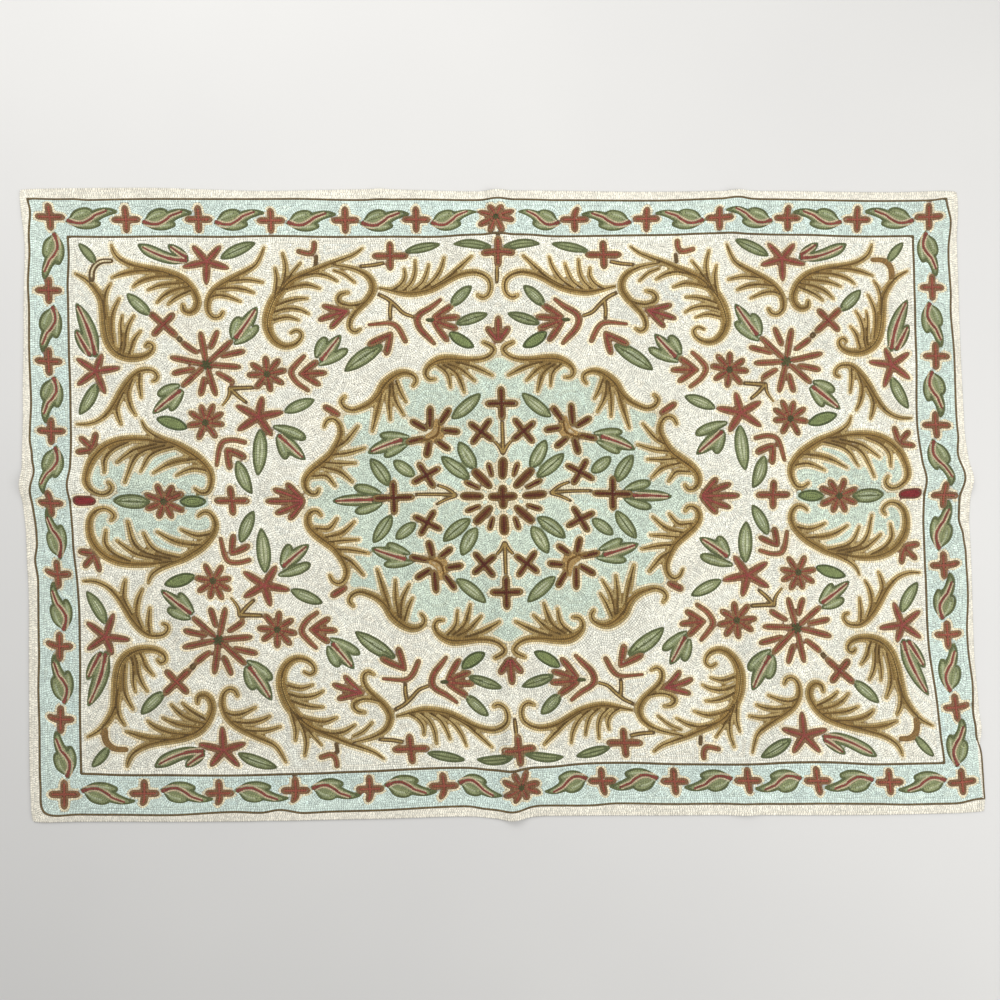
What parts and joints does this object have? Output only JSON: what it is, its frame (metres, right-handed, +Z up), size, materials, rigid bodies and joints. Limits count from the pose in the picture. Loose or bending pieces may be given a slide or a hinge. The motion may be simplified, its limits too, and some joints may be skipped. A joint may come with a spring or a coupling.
{
  "type": "chain stitch rug",
  "caption": "Flat rectangular floor rug of cotton cloth covered in rows of wool chain stitch, with a flowered medallion, scrolls and a leafy border.",
  "frame": {"origin": "middle of the rug's own box, on the floor", "axes": "+X along the rug, +Y across it towards its back edge, +Z up out of its stitched face"},
  "size_m": [1.8644, 1.2276, 0.013],
  "materials": {
    "stitched_wool": "matte wool chain stitch on cotton cloth"
  },
  "bodies": {
    "root": {"rug_cloth": "stitched_wool"}
  },
  "joints": []
}
